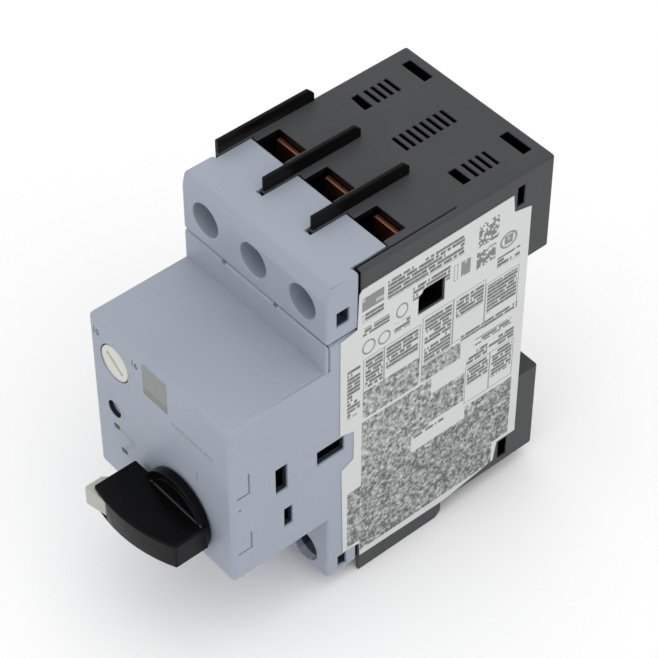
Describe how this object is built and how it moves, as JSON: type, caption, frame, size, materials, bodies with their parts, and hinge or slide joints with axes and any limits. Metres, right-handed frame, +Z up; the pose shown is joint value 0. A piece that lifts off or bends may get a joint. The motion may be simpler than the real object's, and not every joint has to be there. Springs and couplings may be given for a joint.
{
  "type": "motor protection breaker",
  "caption": "Rotary-handle motor protection breaker with screw terminals at top and bottom, a setting dial and a clip for a mounting rail.",
  "frame": {"origin": "middle of the raised pad at the back that sits against the mounting rail", "axes": "+X to the right seen from the front, +Y towards the rail, +Z up towards the line terminals; the front faces -Y"},
  "size_m": [0.0452, 0.0992, 0.0946],
  "materials": {
    "grey_plastic": "moulded, fine grain",
    "black_plastic": "moulded, fine grain",
    "knob_black": "moulded, low gloss",
    "ivory_plastic": "moulded",
    "red_plastic": "moulded",
    "label": "printed film",
    "copper": "bare copper",
    "steel": "pressed sheet",
    "plated_steel": "zinc plated",
    "spring_steel": "drawn wire",
    "silver": "silver faced"
  },
  "bodies": {
    "housing": {"rear_base": "black_plastic", "terminal_cover": "grey_plastic", "front_cover": "grey_plastic", "rating_label": "label", "mechanism_frame": "steel", "test_spring": "spring_steel", "main_spring": "spring_steel", "rail_clip_spring": "spring_steel", "line_terminal_bar_1": "copper", "load_terminal_bar_1": "copper", "bimetal_1": "silver", "arc_chute_1": "steel", "magnet_core_1": "steel", "magnet_coil_1": "copper", "line_terminal_bar_2": "copper", "load_terminal_bar_2": "copper", "bimetal_2": "silver", "arc_chute_2": "steel", "magnet_core_2": "steel", "magnet_coil_2": "copper", "line_terminal_bar_3": "copper", "load_terminal_bar_3": "copper", "bimetal_3": "silver", "arc_chute_3": "steel", "magnet_core_3": "steel", "magnet_coil_3": "copper"},
    "knob_body": {"knob": "knob_black", "knob_shaft": "steel"},
    "lock_slide": {"lock_tab": "ivory_plastic"},
    "dial": {"setting_dial": "ivory_plastic"},
    "test": {"test_button": "grey_plastic"},
    "clip": {"rail_clip": "ivory_plastic"},
    "carrier": {"contact_carrier": "black_plastic", "moving_contact_1": "silver", "moving_contact_2": "silver", "moving_contact_3": "silver", "contact_spring_1": "spring_steel", "contact_spring_2": "spring_steel", "contact_spring_3": "spring_steel"},
    "toggle": {"toggle_lever": "steel"},
    "trip": {"trip_bar": "red_plastic"},
    "line_clamp_1": {"line_clamp_washer_1": "plated_steel"},
    "line_screw_1": {"line_terminal_screw_1": "plated_steel"},
    "line_clamp_2": {"line_clamp_washer_2": "plated_steel"},
    "line_screw_2": {"line_terminal_screw_2": "plated_steel"},
    "line_clamp_3": {"line_clamp_washer_3": "plated_steel"},
    "line_screw_3": {"line_terminal_screw_3": "plated_steel"},
    "load_clamp_1": {"load_clamp_washer_1": "plated_steel"},
    "load_screw_1": {"load_terminal_screw_1": "plated_steel"},
    "load_clamp_2": {"load_clamp_washer_2": "plated_steel"},
    "load_screw_2": {"load_terminal_screw_2": "plated_steel"},
    "load_clamp_3": {"load_clamp_washer_3": "plated_steel"},
    "load_screw_3": {"load_terminal_screw_3": "plated_steel"}
  },
  "joints": [
    {"name": "knob_turn", "type": "hinge", "parent": "housing", "child": "knob_body", "pos_m": [0.0062, -0.0801, -0.01475], "axis": [0, 1, 0], "range_deg": [0, 90]},
    {"name": "lock_tab_pull", "type": "slide", "parent": "knob_body", "child": "lock_slide", "axis": [-1, 0, 0], "range_m": [0, 0.004]},
    {"name": "dial_turn", "type": "hinge", "parent": "housing", "child": "dial", "pos_m": [-0.0147, -0.0801, 0.0109], "axis": [0, 1, 0], "range_deg": [-135, 135]},
    {"name": "test_press", "type": "slide", "parent": "housing", "child": "test", "axis": [0, 1, 0], "range_m": [0, 0.0015], "stiffness_N_per_m": 200, "springref_m": -0.001, "deforming": ["test_spring"]},
    {"name": "clip_slide", "type": "slide", "parent": "housing", "child": "clip", "axis": [0, 0, -1], "range_m": [0, 0.003], "stiffness_N_per_m": 800, "springref_m": -0.002, "deforming": ["rail_clip_spring"]},
    {"name": "carrier_slide", "type": "slide", "parent": "housing", "child": "carrier", "axis": [0, 1, 0], "range_m": [0, 0.0027]},
    {"name": "toggle_swing", "type": "hinge", "parent": "housing", "child": "toggle", "pos_m": [0.0045, -0.0351, -0.0163], "axis": [1, 0, 0], "range_deg": [-3.6, 0]},
    {"name": "trip_bar_turn", "type": "hinge", "parent": "housing", "child": "trip", "pos_m": [0, -0.0246, -0.0258], "axis": [1, 0, 0], "range_deg": [0, 8], "stiffness_Nm_per_rad": 0.01, "springref_deg": -5.73},
    {"name": "line_clamp_tighten_1", "type": "slide", "parent": "housing", "child": "line_clamp_1", "axis": [0, 1, 0], "range_m": [0, 0.0038]},
    {"name": "line_screw_turn_1", "type": "hinge", "parent": "line_clamp_1", "child": "line_screw_1", "pos_m": [-0.015, -0.0401, 0.0352], "axis": [0, 1, 0], "range_deg": [0, 2000]},
    {"name": "line_clamp_tighten_2", "type": "slide", "parent": "housing", "child": "line_clamp_2", "axis": [0, 1, 0], "range_m": [0, 0.0038]},
    {"name": "line_screw_turn_2", "type": "hinge", "parent": "line_clamp_2", "child": "line_screw_2", "pos_m": [0, -0.0401, 0.0352], "axis": [0, 1, 0], "range_deg": [0, 2000]},
    {"name": "line_clamp_tighten_3", "type": "slide", "parent": "housing", "child": "line_clamp_3", "axis": [0, 1, 0], "range_m": [0, 0.0038]},
    {"name": "line_screw_turn_3", "type": "hinge", "parent": "line_clamp_3", "child": "line_screw_3", "pos_m": [0.015, -0.0401, 0.0352], "axis": [0, 1, 0], "range_deg": [0, 2000]},
    {"name": "load_clamp_tighten_1", "type": "slide", "parent": "housing", "child": "load_clamp_1", "axis": [0, 1, 0], "range_m": [0, 0.0038]},
    {"name": "load_screw_turn_1", "type": "hinge", "parent": "load_clamp_1", "child": "load_screw_1", "pos_m": [-0.015, -0.0401, -0.0388], "axis": [0, 1, 0], "range_deg": [0, 2000]},
    {"name": "load_clamp_tighten_2", "type": "slide", "parent": "housing", "child": "load_clamp_2", "axis": [0, 1, 0], "range_m": [0, 0.0038]},
    {"name": "load_screw_turn_2", "type": "hinge", "parent": "load_clamp_2", "child": "load_screw_2", "pos_m": [0, -0.0401, -0.0388], "axis": [0, 1, 0], "range_deg": [0, 2000]},
    {"name": "load_clamp_tighten_3", "type": "slide", "parent": "housing", "child": "load_clamp_3", "axis": [0, 1, 0], "range_m": [0, 0.0038]},
    {"name": "load_screw_turn_3", "type": "hinge", "parent": "load_clamp_3", "child": "load_screw_3", "pos_m": [0.015, -0.0401, -0.0388], "axis": [0, 1, 0], "range_deg": [0, 2000]}
  ],
  "couplings": [
    {"joint": "line_screw_turn_1", "follows": "line_clamp_tighten_1", "rad_per_m": 8976},
    {"joint": "line_screw_turn_2", "follows": "line_clamp_tighten_2", "rad_per_m": 8976},
    {"joint": "line_screw_turn_3", "follows": "line_clamp_tighten_3", "rad_per_m": 8976},
    {"joint": "load_screw_turn_1", "follows": "load_clamp_tighten_1", "rad_per_m": 8976},
    {"joint": "load_screw_turn_2", "follows": "load_clamp_tighten_2", "rad_per_m": 8976},
    {"joint": "load_screw_turn_3", "follows": "load_clamp_tighten_3", "rad_per_m": 8976},
    {"joint": "knob_turn", "follows": "carrier_slide", "rad_per_m": 581.78},
    {"joint": "toggle_swing", "follows": "carrier_slide", "rad_per_m": -22.625}
  ]
}
